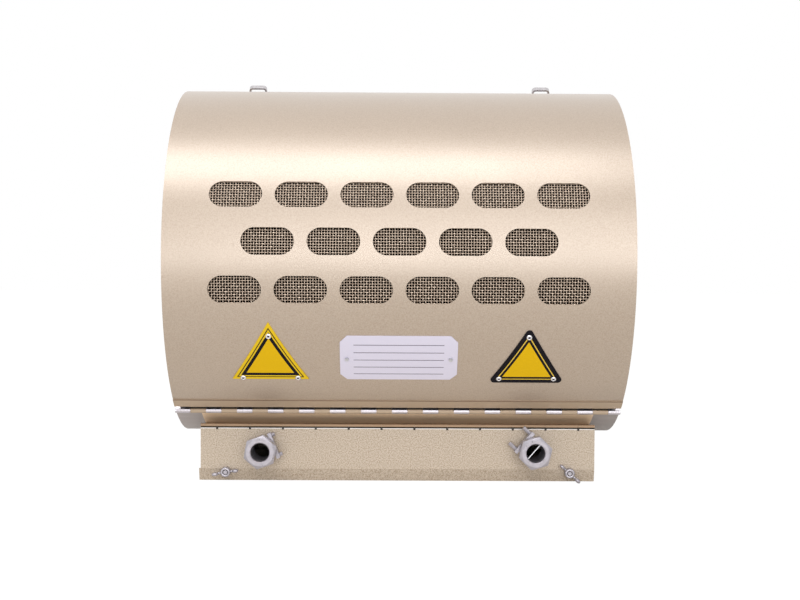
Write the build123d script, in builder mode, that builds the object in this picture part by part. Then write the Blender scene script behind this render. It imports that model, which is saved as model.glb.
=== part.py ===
from build123d import *
from math import cos, degrees, radians, sin, tan
import os

# Driving dimensions, millimetres and degrees.
# The barrel lies along X, the front faces -Y, Z is up and the origin is the bore's centre.
# An angle round the barrel is 0 at the front and grows towards the top.
length = 360.0
bore_r = 95.0
cover_outer_r = 146.0
cover_sheet = 1.2
hinge_angle = -55.0
split_gap = 1.0
fit_gap = 0.2

# Heating bars, blanket and casing, from the bore outwards
bar_thickness = 12.0
bars_per_half = 8
bar_gap = 0.8
coil_r = 3.0
coil_hole_gap = 0.4
coil_stub = 3.0
coil_link = 2.4
casing_air_gap = 10.8
casing_sheet = 1.0
end_inset = 3.0
end_plate_sheet = 1.2
end_plate_gap = 1.2
coil_end_room = 7.0
spacer_width = 9.0
front_spacer_angles = (-42.0, 42.0, 80.0, 118.0)
rear_spacer_angles = (138.0, 180.0, 222.0, 258.0, 290.0)

# Slots of the ventilated cover and the wire mesh behind them
slot_length = 40.5
slot_width = 21.0
slot_pitch = 50.0
slot_rows = ((20.5, 6), (6.0, 5), (-8.5, 6))
mesh_wall = 0.8
mesh_ridge = 0.6
mesh_edge = 9.0
mesh_gap_columns = 3
mesh_gap_rows = 2
mesh_rib = 1.7

# Piano hinge between the two halves
hinge_leaf = 0.75
knuckle_r = 1.7
hinge_pin_r = 0.9
running_gap = 0.05
knuckle_pitch = 12.5
knuckle_end_gap = 0.15
front_leaf_top_angle = -49.2
front_edge_angle = -53.15
rear_tab_offset = 0.9
rear_leaf_width = 18.0

# Wiring box under the barrel
box_length = 320.0
box_front = 81.0
box_rear = 81.0
box_top_sink = 11.0
box_depth = 43.5
box_sheet = 1.2
lid_sheet = 1.2
lip_height = 10.2
lip_tilt = 13.0
lip_overhang = 1.3
lid_foot_gap = 0.3
box_rim = 3.2
box_flange = 13.0
box_side_rim = 10.0
lid_knuckle_r = 1.5
lid_pin_r = 0.8
lid_pin_rise = 1.6
lid_pin_inset = 0.55
lid_knuckles = 12
lid_edge_gap = 0.3
lid_strip_width = 12.0
lid_strip_sheet = 0.6

# Conduit connectors on the lid
connector_x = 110.0
connector_drop = 17.4
connector_bore_r = 7.5
connector_body_r = 9.6
connector_hex = 24.0
connector_hex_height = 7.0
connector_reach = 20.0
connector_tail = 8.0
locknut_hex = 21.0
locknut_height = 3.0
saddle_thickness = 3.0
saddle_gap = 1.2
clamp_screw_r = 1.5
clamp_screw_tips = (14.8, 19.5)
clamp_screw_spread = 17.0
connector_turns = (20.0, 16.0)
saddle_turns = (22.0, 138.0)

# Wing nuts that hold the lid's lip
wing_nut_x = 139.5
wing_nut_drop = 2.6
wing_boss_r = 4.1
wing_boss_height = 5.0
wing_span = 19.0
wing_height = 7.0
wing_thickness = 1.5
stud_r = 1.6
stud_length = 10.8
stud_recess = 0.3
stud_head_r = 3.5
stud_head = 1.5
stud_hole_gap = 1.0
nut_bore_gap = 0.45
wing_turns = (10.0, -42.0)

# Over-centre latches on the split's upper edge
latch_x = (-129.3, 131.0)
latch_angle = 130.5
latch_base_sheet = 1.2
latch_base_width = 16.0
latch_base_span = (126.3, 137.6)
latch_pivot_height = 6.5
latch_pin_r = 1.5
ear_inner = 3.2
ear_sheet = 1.2
lever_inner = 4.7
lever_sheet = 1.0
lever_length = 38.0
lever_open = 110.0
bail_arm = 9.0
bail_arm_angle = 25.0
bail_width = 16.0
bail_sheet = 1.6
bail_strap = 4.0
bail_length = 52.0
bail_corner_r = 3.5
bail_pivot_r = 1.2
bail_stand = 137.6
keeper_angle = 114.5
keeper_span = (109.6, 118.6)
keeper_width = 11.0
keeper_height = 8.5

# Plates on the front
plate_sheet = 0.6
nameplate_angle = -30.9
nameplate_size = (91.0, 41.0)
nameplate_corner = 5.5
nameplate_pin_x = 40.2
sign_side = 60.0
sign_x = 100.0
sign_angles = (-32.2, -33.3)
sign_corners = (0.3, 3.0)
sign_rivet_x = 21.4
sign_rivet_angles = (-38.4, -23.1)
rivet_r = 2.3
rivet_height = 1.1
pin_head_r = 1.6

# Terminals inside the wiring box
terminal_x = 45.0
terminal_angle = -90.0
bushing_r = 5.0
bushing_reach = 7.0
terminal_stud_r = 2.0
terminal_reach = 20.0
terminal_nut_hex = 7.0
terminal_nut_height = 3.2
block_size = (60.0, 24.0, 14.0)
block_y = 42.0
block_screw_r = 2.5
block_screw_height = 2.0

# Values that follow from the sizes above
half_length = length / 2
cover_inner_r = cover_outer_r - cover_sheet
bar_outer_r = bore_r + bar_thickness
coil_path_r = bore_r + bar_thickness / 2
casing_outer_r = cover_inner_r - casing_air_gap
casing_inner_r = casing_outer_r - casing_sheet
end_plate_outer_r = cover_inner_r - end_plate_gap
mesh_outer_r = cover_inner_r - mesh_ridge - fit_gap
bushing_end_r = cover_outer_r + bushing_reach
terminal_stud_end_r = cover_outer_r + terminal_reach
plate_x = half_length - end_inset
inner_half_length = plate_x - end_plate_sheet
bar_half_length = inner_half_length - coil_end_room
hinge_leaf_r = cover_outer_r + running_gap
hinge_pin_path_r = hinge_leaf_r + knuckle_r
latch_edge_angle = hinge_angle + 180.0
rear_tab_near = hinge_angle - degrees(rear_tab_offset / cover_outer_r)
rear_tab_far = rear_tab_near - degrees(hinge_leaf / cover_outer_r)
rear_edge_angle = rear_tab_far - degrees(fit_gap / cover_outer_r)
box_half = box_length / 2
box_top = box_top_sink - cover_outer_r
box_floor = box_top - box_depth
lid_crease = box_floor + lip_height
connector_z = box_top - connector_drop
lid_inner_y = -box_front + lid_sheet
box_wall_y = lid_inner_y + fit_gap
lid_pin = (-box_front + lid_pin_inset, box_top + lid_pin_rise)
lid_strip_y = lid_pin[0] + lid_knuckle_r + fit_gap
nut_seat = box_front + fit_gap
nut_z = lid_crease - wing_nut_drop
connector_face_y = -box_front - connector_reach
lip_tan = tan(radians(lip_tilt))


def at(radius, angle):
    """A point of the cross-section, from its radius and its angle round the barrel."""
    return (-radius * cos(radians(angle)), radius * sin(radians(angle)))


def across(x):
    """The cross-section's plane at a place along the barrel."""
    return Plane.YZ.offset(x)


def skin(x, radius, angle, turn=0.0):
    """A plane that touches the barrel, with its normal outwards and its x along the barrel."""
    y, z = at(radius, angle)
    outward = (0, -cos(radians(angle)), sin(radians(angle)))
    return Plane(origin=(x, y, z), x_dir=(1, 0, 0), z_dir=outward).rotated((0, 0, turn))


def ring_sector(inner_r, outer_r, start, end, start_gap=0.0, end_gap=0.0):
    """A ring between two angles, with its ends set back by a gap that stays parallel."""
    def corner(radius, angle, gap):
        return angle + degrees(gap / radius)

    inner_from = corner(inner_r, start, start_gap)
    outer_from = corner(outer_r, start, start_gap)
    inner_to = corner(inner_r, end, -end_gap)
    outer_to = corner(outer_r, end, -end_gap)
    with BuildSketch() as profile:
        with BuildLine():
            inner = ThreePointArc(
                at(inner_r, inner_from), at(inner_r, (inner_from + inner_to) / 2), at(inner_r, inner_to)
            )
            outer = ThreePointArc(
                at(outer_r, outer_from), at(outer_r, (outer_from + outer_to) / 2), at(outer_r, outer_to)
            )
            Line(inner @ 0, outer @ 0)
            Line(inner @ 1, outer @ 1)
        make_face()
    return profile.sketch


def outline(*points):
    """A closed straight-sided face."""
    with BuildSketch() as profile:
        with BuildLine():
            Polyline(*points, close=True)
        make_face()
    return profile.sketch


def eight_sided(centre, radius):
    """A small round section drawn with eight flats, because the hinges repeat it often."""
    with BuildSketch() as profile:
        with Locations(centre):
            RegularPolygon(radius=radius, side_count=8, major_radius=False)
    return profile.sketch


def finish(builder, name):
    """Labels a finished piece and writes it."""
    builder.part.label = name
    export_step(builder.part, f"parts/{name}.step")


os.makedirs("parts", exist_ok=True)
halves = (("front", hinge_angle, front_spacer_angles), ("rear", latch_edge_angle, rear_spacer_angles))

# Front cover: a painted half shell with three rows of long slots
with BuildPart() as front_cover:
    with BuildSketch(across(-half_length)):
        add(ring_sector(cover_inner_r, cover_outer_r, front_edge_angle, latch_edge_angle, 0, split_gap / 2))
    extrude(amount=length)
    for row_angle, row_count in slot_rows:
        with BuildSketch(skin(0, cover_outer_r, row_angle)):
            with GridLocations(slot_pitch, 1, row_count, 1):
                SlotOverall(slot_length, slot_width)
        extrude(amount=cover_sheet * 3, both=True, mode=Mode.SUBTRACT)
finish(front_cover, "front_cover")

# Woven wire mesh behind the slots: a thin wall with gaps and raised wires
mesh_top_angle = slot_rows[0][0] + degrees((slot_width / 2 + mesh_edge) / cover_outer_r)
mesh_foot_angle = slot_rows[-1][0] - degrees((slot_width / 2 + mesh_edge) / cover_outer_r)
mesh_half_length = (slot_rows[0][1] - 1) / 2 * slot_pitch + slot_length / 2 + mesh_edge
mesh_inner_r = mesh_outer_r - mesh_wall
gap_length = (slot_length - mesh_rib) / mesh_gap_columns - mesh_rib
gap_height = (slot_width - mesh_rib) / mesh_gap_rows - mesh_rib
with BuildPart() as front_mesh:
    with BuildSketch(across(-mesh_half_length)):
        add(ring_sector(mesh_inner_r, mesh_outer_r, mesh_foot_angle, mesh_top_angle))
        for row_angle, row_count in slot_rows:
            for step in range(mesh_gap_rows + 1):
                rise = (step - mesh_gap_rows / 2) * (gap_height + mesh_rib)
                wire = degrees(rise / cover_outer_r)
                half_wire = degrees(mesh_rib / 2 / cover_outer_r)
                add(ring_sector(
                    mesh_outer_r - mesh_ridge, mesh_outer_r + mesh_ridge,
                    row_angle + wire - half_wire, row_angle + wire + half_wire,
                ))
    extrude(amount=2 * mesh_half_length)
    for row_angle, row_count in slot_rows:
        with BuildSketch(skin(0, mesh_outer_r, row_angle)):
            with GridLocations(slot_pitch, 1, row_count, 1):
                with GridLocations(
                    gap_length + mesh_rib, gap_height + mesh_rib, mesh_gap_columns, mesh_gap_rows
                ):
                    Rectangle(gap_length, gap_height)
        extrude(amount=mesh_wall * 3, both=True, mode=Mode.SUBTRACT)
finish(front_mesh, "front_mesh")

# Rear cover: a bare steel half shell, with two holes over the wiring box for the terminals
with BuildPart() as rear_cover:
    with BuildSketch(across(-half_length)):
        add(ring_sector(
            cover_inner_r, cover_outer_r, latch_edge_angle, rear_edge_angle + 360, split_gap / 2, 0
        ))
    extrude(amount=length)
    with BuildSketch(skin(0, casing_outer_r, terminal_angle)):
        with Locations((-terminal_x, 0), (terminal_x, 0)):
            Circle(bushing_r + fit_gap)
    extrude(amount=cover_outer_r - casing_outer_r + cover_sheet, mode=Mode.SUBTRACT)
finish(rear_cover, "rear_cover")

# What each half holds: ceramic bars, heating coil, blanket, casing, end plates and spacers
for half, half_start, spacer_angles in halves:
    half_end = half_start + 180
    bar_step = 180 / bars_per_half
    bar_angles = [half_start + bar_step * (i + 0.5) for i in range(bars_per_half)]

    with BuildPart() as ceramic_bars:
        for angle in bar_angles:
            with BuildSketch(across(-bar_half_length)):
                add(ring_sector(
                    bore_r, bar_outer_r, angle - bar_step / 2, angle + bar_step / 2, bar_gap / 2, bar_gap / 2
                ))
                with Locations(at(coil_path_r, angle)):
                    RegularPolygon(
                        radius=coil_r + coil_hole_gap, side_count=6, major_radius=False, mode=Mode.SUBTRACT
                    )
            extrude(amount=2 * bar_half_length)
    finish(ceramic_bars, f"{half}_ceramic_bars")

    with BuildPart() as heating_coil:
        with BuildSketch(across(-bar_half_length - coil_stub)):
            with Locations(*[at(coil_path_r, angle) for angle in bar_angles]):
                RegularPolygon(radius=coil_r, side_count=6, major_radius=False)
        extrude(amount=2 * (bar_half_length + coil_stub))
        for i in range(bars_per_half - 1):
            side = 1 if i % 2 else -1
            link_x = side * (bar_half_length + coil_stub - coil_link / 2)
            with BuildSketch(across(link_x)):
                add(ring_sector(
                    coil_path_r - coil_link / 2, coil_path_r + coil_link / 2, bar_angles[i], bar_angles[i + 1]
                ))
            extrude(amount=coil_link / 2, both=True)
    finish(heating_coil, f"{half}_heating_coil")

    with BuildPart() as blanket:
        with BuildSketch(across(-inner_half_length)):
            add(ring_sector(
                bar_outer_r + fit_gap, casing_inner_r - fit_gap, half_start, half_end, split_gap, split_gap
            ))
        extrude(amount=2 * inner_half_length)
        if half == "rear":
            with BuildSketch(skin(0, bar_outer_r, terminal_angle)):
                with Locations((-terminal_x, 0), (terminal_x, 0)):
                    Circle(bushing_r + fit_gap)
            extrude(amount=casing_outer_r - bar_outer_r, mode=Mode.SUBTRACT)
    finish(blanket, f"{half}_blanket")

    with BuildPart() as casing:
        with BuildSketch(across(-inner_half_length)):
            add(ring_sector(
                casing_inner_r, casing_outer_r, half_start, half_end, split_gap / 2, split_gap / 2
            ))
        extrude(amount=2 * inner_half_length)
        if half == "rear":
            with BuildSketch(skin(0, casing_inner_r - casing_sheet, terminal_angle)):
                with Locations((-terminal_x, 0), (terminal_x, 0)):
                    Circle(bushing_r + fit_gap)
            extrude(amount=casing_sheet * 3, mode=Mode.SUBTRACT)
    finish(casing, f"{half}_casing")

    for side_name, side_x in (("left", -plate_x), ("right", inner_half_length)):
        with BuildPart() as end_plate:
            with BuildSketch(across(side_x)):
                add(ring_sector(
                    bore_r + bar_gap, end_plate_outer_r, half_start, half_end, split_gap / 2, split_gap / 2
                ))
            extrude(amount=end_plate_sheet)
        finish(end_plate, f"{half}_end_plate_{side_name}")

    with BuildPart() as spacers:
        half_spacer = degrees(spacer_width / 2 / casing_outer_r)
        with BuildSketch(across(-inner_half_length)):
            for angle in spacer_angles:
                add(ring_sector(
                    casing_outer_r + running_gap, cover_inner_r - fit_gap,
                    angle - half_spacer, angle + half_spacer,
                ))
        extrude(amount=2 * inner_half_length)
    finish(spacers, f"{half}_spacers")

# Piano hinge: the front leaf lies on the painted cover, the rear leaf under the steel one
hinge_pin_at = at(hinge_pin_path_r, hinge_angle)
knuckle_count = int(length / knuckle_pitch) + 1
knuckle_starts = [-half_length + knuckle_pitch * i for i in range(knuckle_count)]
with BuildPart() as front_hinge_leaf:
    with BuildSketch(across(-half_length)):
        add(ring_sector(hinge_leaf_r, hinge_leaf_r + hinge_leaf, front_edge_angle, front_leaf_top_angle))
    extrude(amount=length)
    for start in knuckle_starts[1::2]:
        width = min(knuckle_pitch, half_length - start)
        with BuildSketch(across(start + knuckle_end_gap)):
            add(eight_sided(hinge_pin_at, knuckle_r))
            add(ring_sector(hinge_leaf_r, hinge_leaf_r + hinge_leaf, hinge_angle, front_edge_angle + 0.2))
            add(eight_sided(hinge_pin_at, hinge_pin_r + running_gap), mode=Mode.SUBTRACT)
        extrude(amount=width - 2 * knuckle_end_gap)
finish(front_hinge_leaf, "front_hinge_leaf")

rear_leaf_outer_r = cover_inner_r - fit_gap
rear_leaf_inner_r = rear_leaf_outer_r - hinge_leaf
rear_leaf_foot_angle = rear_tab_near - degrees(rear_leaf_width / cover_outer_r)
with BuildPart() as rear_hinge_leaf:
    with BuildSketch(across(-half_length)):
        add(ring_sector(rear_leaf_inner_r, rear_leaf_outer_r, rear_leaf_foot_angle, rear_tab_near))
    extrude(amount=length)
    for start in knuckle_starts[0::2]:
        width = min(knuckle_pitch, half_length - start)
        with BuildSketch(across(start + knuckle_end_gap)):
            add(eight_sided(hinge_pin_at, knuckle_r))
            add(ring_sector(rear_leaf_inner_r, hinge_pin_path_r, rear_tab_far, rear_tab_near))
            add(eight_sided(hinge_pin_at, hinge_pin_r + running_gap), mode=Mode.SUBTRACT)
        extrude(amount=width - 2 * knuckle_end_gap)
finish(rear_hinge_leaf, "rear_hinge_leaf")

with BuildPart() as hinge_pin:
    with BuildSketch(across(-half_length)):
        with Locations(hinge_pin_at):
            Circle(hinge_pin_r)
    extrude(amount=length)
finish(hinge_pin, "hinge_pin")

# Wiring box: folded sheet under the barrel, open at the front and cut to the shell
lid_foot = box_floor + lid_foot_gap
box_section = (
    (box_wall_y, box_top),
    (box_wall_y, lid_crease),
    (box_wall_y + (lid_crease - box_floor) * lip_tan, box_floor),
    (box_rear, box_floor),
    (box_rear, box_top),
)
with BuildPart() as wiring_box:
    with BuildSketch(across(-box_half)):
        add(outline(*box_section))
    extrude(amount=box_length)
    with BuildSketch(across(-box_half + box_sheet)):
        add(outline(*box_section))
        offset(amount=-box_sheet, kind=Kind.INTERSECTION, mode=Mode.REPLACE)
    extrude(amount=box_length - 2 * box_sheet, mode=Mode.SUBTRACT)
    with BuildSketch(across(-half_length)):
        Circle(cover_outer_r + fit_gap)
    extrude(amount=length, mode=Mode.SUBTRACT)
    opening_top = box_top - box_rim
    opening_foot = box_floor + box_flange
    with BuildSketch(Plane.XZ.offset(box_front)):
        with Locations((0, (opening_top + opening_foot) / 2)):
            Rectangle(box_length - 2 * box_side_rim, opening_top - opening_foot)
    extrude(amount=-box_front / 3, mode=Mode.SUBTRACT)
    with BuildSketch(Plane.XZ.offset(box_front)):
        with Locations((-wing_nut_x, nut_z), (wing_nut_x, nut_z)):
            Circle(stud_r + running_gap)
    extrude(amount=-box_front / 3, mode=Mode.SUBTRACT)
finish(wiring_box, "wiring_box")

# The lid's hinge: knuckles rolled on the lid's top edge and on a strip along the box
lid_pitch = box_length / lid_knuckles
lid_joints = [lid_pitch * (i + 0.5 - lid_knuckles / 2) for i in range(lid_knuckles)]
lid_joints = [-box_half, *lid_joints, box_half]
lid_spans = list(zip(lid_joints, lid_joints[1:]))
with BuildPart() as lid_hinge_strip:
    with BuildSketch(across(-box_half)):
        with Locations((lid_strip_y + lid_strip_width / 2, box_top + lid_strip_sheet / 2)):
            Rectangle(lid_strip_width, lid_strip_sheet)
    extrude(amount=box_length)
    for span_from, span_to in lid_spans[0::2]:
        with BuildSketch(across(span_from + knuckle_end_gap)):
            add(eight_sided(lid_pin, lid_knuckle_r))
            add(outline(
                (lid_strip_y + lid_strip_sheet, box_top),
                (lid_strip_y + lid_strip_sheet, box_top + lid_strip_sheet),
                (lid_strip_y, box_top + lid_strip_sheet), (lid_pin[0] + lid_knuckle_r, lid_pin[1]),
                (lid_pin[0] + lid_knuckle_r - lid_strip_sheet, lid_pin[1]),
                (lid_strip_y - lid_strip_sheet, box_top + fit_gap),
                (lid_strip_y, box_top),
            ))
            add(eight_sided(lid_pin, lid_pin_r + running_gap), mode=Mode.SUBTRACT)
        extrude(amount=span_to - span_from - 2 * knuckle_end_gap)
finish(lid_hinge_strip, "lid_hinge_strip")

lid_top = lid_pin[1] - lid_knuckle_r - lid_edge_gap
lid_section = (
    (-box_front, lid_top),
    (lid_inner_y, lid_top),
    (lid_inner_y, lid_crease),
    (lid_inner_y + (lid_crease - lid_foot) * lip_tan, lid_foot),
    (-box_front + (lid_crease - lid_foot) * lip_tan, lid_foot),
    (-box_front, lid_crease),
)
with BuildPart() as lid:
    with BuildSketch(across(-box_half)):
        add(outline(*lid_section))
    extrude(amount=box_length)
    with BuildSketch(across(-box_half - lip_overhang)):
        add(outline(*lid_section[2:]))
    extrude(amount=lip_overhang)
    for span_from, span_to in lid_spans[1::2]:
        with BuildSketch(across(span_from + knuckle_end_gap)):
            add(eight_sided(lid_pin, lid_knuckle_r))
            add(outline(
                (-box_front, lid_top), (lid_inner_y, lid_top),
                (lid_inner_y, lid_pin[1]), (-box_front, lid_pin[1]),
            ))
            add(eight_sided(lid_pin, lid_pin_r + running_gap), mode=Mode.SUBTRACT)
        extrude(amount=span_to - span_from - 2 * knuckle_end_gap)
    with BuildSketch(Plane.XZ.offset(box_front)):
        with Locations((-connector_x, connector_z), (connector_x, connector_z)):
            Circle(connector_body_r + running_gap)
        with Locations((-wing_nut_x, nut_z), (wing_nut_x, nut_z)):
            Circle(stud_r + stud_hole_gap)
    extrude(amount=-lid_sheet * 3, both=True, mode=Mode.SUBTRACT)
finish(lid, "lid")

with BuildPart() as lid_hinge_pin:
    with BuildSketch(across(-box_half)):
        with Locations(lid_pin):
            Circle(lid_pin_r)
    extrude(amount=box_length)
finish(lid_hinge_pin, "lid_hinge_pin")

# Conduit connectors: a tube with a hexagon mouth, a saddle with two clamp screws, a locknut
for side_name, side, turn, saddle_turn, screw_tip in (
    ("left", -1, connector_turns[0], saddle_turns[0], clamp_screw_tips[0]),
    ("right", 1, connector_turns[1], saddle_turns[1], clamp_screw_tips[1]),
):
    mouth_centre = (side * connector_x, connector_face_y, connector_z)
    mouth = Plane(origin=mouth_centre, x_dir=(1, 0, 0), z_dir=(0, -1, 0))
    hex_back = mouth.offset(-connector_hex_height)
    face = mouth.offset(-connector_reach)

    with BuildPart() as connector_body:
        with BuildSketch(hex_back):
            RegularPolygon(radius=connector_hex / 2, side_count=6, major_radius=False, rotation=turn)
        extrude(amount=connector_hex_height)
        with BuildSketch(hex_back):
            Circle(connector_body_r)
        extrude(amount=-(connector_reach - connector_hex_height + connector_tail))
        with BuildSketch(mouth):
            Circle(connector_bore_r)
        extrude(amount=-(connector_reach + connector_tail), mode=Mode.SUBTRACT)
    finish(connector_body, f"{side_name}_connector_body")

    saddle_plane = hex_back.offset(-saddle_thickness - running_gap)
    with BuildPart() as connector_saddle:
        with BuildSketch(saddle_plane):
            with Locations(Rotation(0, 0, saddle_turn)):
                with Locations((connector_body_r + saddle_gap, 0)):
                    Rectangle(saddle_thickness, clamp_screw_spread + 3 * clamp_screw_r)
            Circle(connector_body_r + running_gap, mode=Mode.SUBTRACT)
        extrude(amount=-saddle_thickness * 2)
    finish(connector_saddle, f"{side_name}_connector_saddle")

    with BuildPart() as clamp_screws:
        for spread in (-0.5, 0.5):
            along = (cos(radians(saddle_turn)), sin(radians(saddle_turn)))
            start = connector_body_r + saddle_gap + saddle_thickness / 2 + running_gap
            sideways = spread * clamp_screw_spread
            foot = (
                along[0] * start - along[1] * sideways,
                along[1] * start + along[0] * sideways,
            )
            foot_plane = Plane(
                origin=saddle_plane.offset(-saddle_thickness).from_local_coords((foot[0], foot[1], 0)),
                z_dir=saddle_plane.x_dir * along[0] + saddle_plane.y_dir * along[1],
            )
            with BuildSketch(foot_plane):
                RegularPolygon(radius=clamp_screw_r, side_count=8, major_radius=False)
            extrude(amount=screw_tip - start)
    finish(clamp_screws, f"{side_name}_clamp_screws")

    with BuildPart() as locknut:
        with BuildSketch(face.offset(-lid_sheet - running_gap)):
            RegularPolygon(radius=locknut_hex / 2, side_count=6, major_radius=False, rotation=30)
            Circle(connector_body_r + running_gap, mode=Mode.SUBTRACT)
        extrude(amount=-locknut_height)
    finish(locknut, f"{side_name}_locknut")

# Studs fixed in the box's flange, and the wing nuts that the lid keeps on them
stud_end = nut_seat + wing_boss_height - stud_recess
stud_back = Plane.XZ.offset(stud_end - stud_length)
with BuildPart() as lid_studs:
    with BuildSketch(stud_back):
        with Locations((-wing_nut_x, nut_z), (wing_nut_x, nut_z)):
            Circle(stud_r)
    extrude(amount=stud_length)
    with BuildSketch(stud_back):
        with Locations((-wing_nut_x, nut_z), (wing_nut_x, nut_z)):
            Circle(stud_head_r)
    extrude(amount=stud_head)
finish(lid_studs, "lid_studs")

for side_name, side, turn in (("left", -1, wing_turns[0]), ("right", 1, wing_turns[1])):
    nut_plane = Plane(origin=(side * wing_nut_x, -nut_seat, nut_z), x_dir=(1, 0, 0), z_dir=(0, -1, 0))
    wing_plane = Plane(
        origin=nut_plane.origin,
        x_dir=nut_plane.x_dir * cos(radians(turn)) + nut_plane.y_dir * sin(radians(turn)),
        z_dir=-nut_plane.x_dir * sin(radians(turn)) + nut_plane.y_dir * cos(radians(turn)),
    )
    with BuildPart() as wing_nut:
        with BuildSketch(nut_plane):
            Circle(wing_boss_r)
        extrude(amount=wing_boss_height)
        with BuildSketch(wing_plane):
            for wing in (-1, 1):
                add(outline(
                    (wing * stud_r * 1.3, -0.6), (wing * wing_boss_r * 1.2, -1.0),
                    (wing * wing_span / 2, -wing_height), (wing * wing_span / 2.6, -wing_height - 0.8),
                    (wing * stud_r * 1.3, -wing_boss_height),
                ))
        extrude(amount=wing_thickness / 2, both=True)
        with BuildSketch(nut_plane):
            Circle(stud_r + nut_bore_gap)
        extrude(amount=wing_height * 2, mode=Mode.SUBTRACT)
    finish(wing_nut, f"{side_name}_wing_nut")

# Over-centre latches, thrown open as the loops in view show
latch_y, latch_z = at(cover_outer_r, latch_angle)
latch_t = Vector(0, sin(radians(latch_angle)), cos(radians(latch_angle)))
latch_n = Vector(0, -cos(radians(latch_angle)), sin(radians(latch_angle)))
lever_turn = radians(lever_open)
lever_dir = latch_t * cos(lever_turn) + latch_n * sin(lever_turn)
lever_up = latch_n * cos(lever_turn) - latch_t * sin(lever_turn)
bail_dir = Vector(0, cos(radians(bail_stand)), sin(radians(bail_stand)))
lever_side = (
    (-3.0, -2.6), (9.0, -2.8), (lever_length - 2, 0.5), (lever_length, 1.5),
    (lever_length - 2, 3.4), (12.0, 7.2), (5.0, 7.2), (-3.0, 2.6),
)
bail_arm_at = (bail_arm * cos(radians(bail_arm_angle)), bail_arm * sin(radians(bail_arm_angle)))
for side_name, x in (("left", latch_x[0]), ("right", latch_x[1])):
    shell_point = Vector(x, latch_y, latch_z)
    pivot = shell_point + latch_n * latch_pivot_height
    bail_pivot = pivot + lever_dir * bail_arm_at[0] + lever_up * bail_arm_at[1]

    with BuildPart() as latch_base:
        with BuildSketch(across(x - latch_base_width / 2)):
            add(ring_sector(
                cover_outer_r + running_gap, cover_outer_r + running_gap + latch_base_sheet, *latch_base_span
            ))
        extrude(amount=latch_base_width)
        for side in (-1, 1):
            with BuildSketch(Plane(origin=shell_point, x_dir=latch_t, z_dir=(1, 0, 0)).offset(
                side * (ear_inner + ear_sheet / 2)
            )):
                add(outline(
                    (-4.0, 0.6), (5.0, 0.6), (2.8, latch_pivot_height + 2.2), (-2.8, latch_pivot_height + 2.2)
                ))
                with Locations((0, latch_pivot_height)):
                    Circle(latch_pin_r + running_gap, mode=Mode.SUBTRACT)
            extrude(amount=ear_sheet / 2, both=True)
    finish(latch_base, f"{side_name}_latch_base")

    with BuildPart() as latch_pin:
        with BuildSketch(across(x - lever_inner - lever_sheet)):
            with Locations((pivot.Y, pivot.Z)):
                Circle(latch_pin_r)
        extrude(amount=2 * (lever_inner + lever_sheet))
    finish(latch_pin, f"{side_name}_latch_pin")

    with BuildPart() as latch_lever:
        lever_plane = Plane(origin=pivot, x_dir=lever_dir, z_dir=(1, 0, 0))
        for side in (-1, 1):
            with BuildSketch(lever_plane.offset(side * (lever_inner + lever_sheet / 2))):
                add(outline(*lever_side))
                Circle(latch_pin_r + running_gap, mode=Mode.SUBTRACT)
                with Locations(bail_arm_at):
                    Circle(bail_pivot_r + running_gap, mode=Mode.SUBTRACT)
            extrude(amount=lever_sheet / 2, both=True)
        with BuildSketch(lever_plane):
            add(outline(
                (13.0, 7.05), (lever_length - 2, 3.4), (lever_length - 2.4, 2.4), (13.0, 6.05),
            ))
        extrude(amount=lever_inner, both=True)
    finish(latch_lever, f"{side_name}_latch_lever")

    with BuildPart() as latch_bail:
        bail_plane = Plane(origin=bail_pivot, x_dir=(1, 0, 0), z_dir=Vector(1, 0, 0).cross(bail_dir))
        foot = bail_strap / 2
        with BuildSketch(bail_plane):
            with BuildLine():
                FilletPolyline(
                    (-bail_width / 2, -foot), (-bail_width / 2, bail_length),
                    (bail_width / 2, bail_length), (bail_width / 2, -foot),
                    radius=bail_corner_r,
                )
                Line((bail_width / 2, -foot), (bail_width / 2 - bail_sheet, -foot))
                FilletPolyline(
                    (bail_width / 2 - bail_sheet, -foot),
                    (bail_width / 2 - bail_sheet, bail_length - bail_sheet),
                    (bail_sheet - bail_width / 2, bail_length - bail_sheet),
                    (bail_sheet - bail_width / 2, -foot),
                    radius=bail_corner_r - bail_sheet,
                )
                Line((bail_sheet - bail_width / 2, -foot), (-bail_width / 2, -foot))
            make_face()
        extrude(amount=bail_strap / 2, both=True)
        for side in (-1, 1):
            arm_plane = Plane(origin=bail_pivot, x_dir=bail_dir, z_dir=(side, 0, 0))
            with BuildSketch(arm_plane.offset(lever_inner)):
                Circle(bail_pivot_r)
            extrude(amount=bail_width / 2 - bail_sheet / 2 - lever_inner)
    finish(latch_bail, f"{side_name}_latch_bail")

    keeper_y, keeper_z = at(cover_outer_r, keeper_angle)
    keeper_t = Vector(0, sin(radians(keeper_angle)), cos(radians(keeper_angle)))
    with BuildPart() as latch_keeper:
        with BuildSketch(across(x - keeper_width / 2)):
            add(ring_sector(
                cover_outer_r + running_gap, cover_outer_r + running_gap + latch_base_sheet, *keeper_span
            ))
        extrude(amount=keeper_width)
        keeper_end = (x - keeper_width / 2, keeper_y, keeper_z)
        with BuildSketch(Plane(origin=keeper_end, x_dir=keeper_t, z_dir=(1, 0, 0))):
            add(outline(
                (1.5, 0.6), (3.0, 0.6), (3.0, keeper_height), (-3.0, keeper_height + 1.3),
                (-3.4, keeper_height + 0.2), (1.5, keeper_height - 1.2),
            ))
        extrude(amount=keeper_width)
    finish(latch_keeper, f"{side_name}_latch_keeper")

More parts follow.
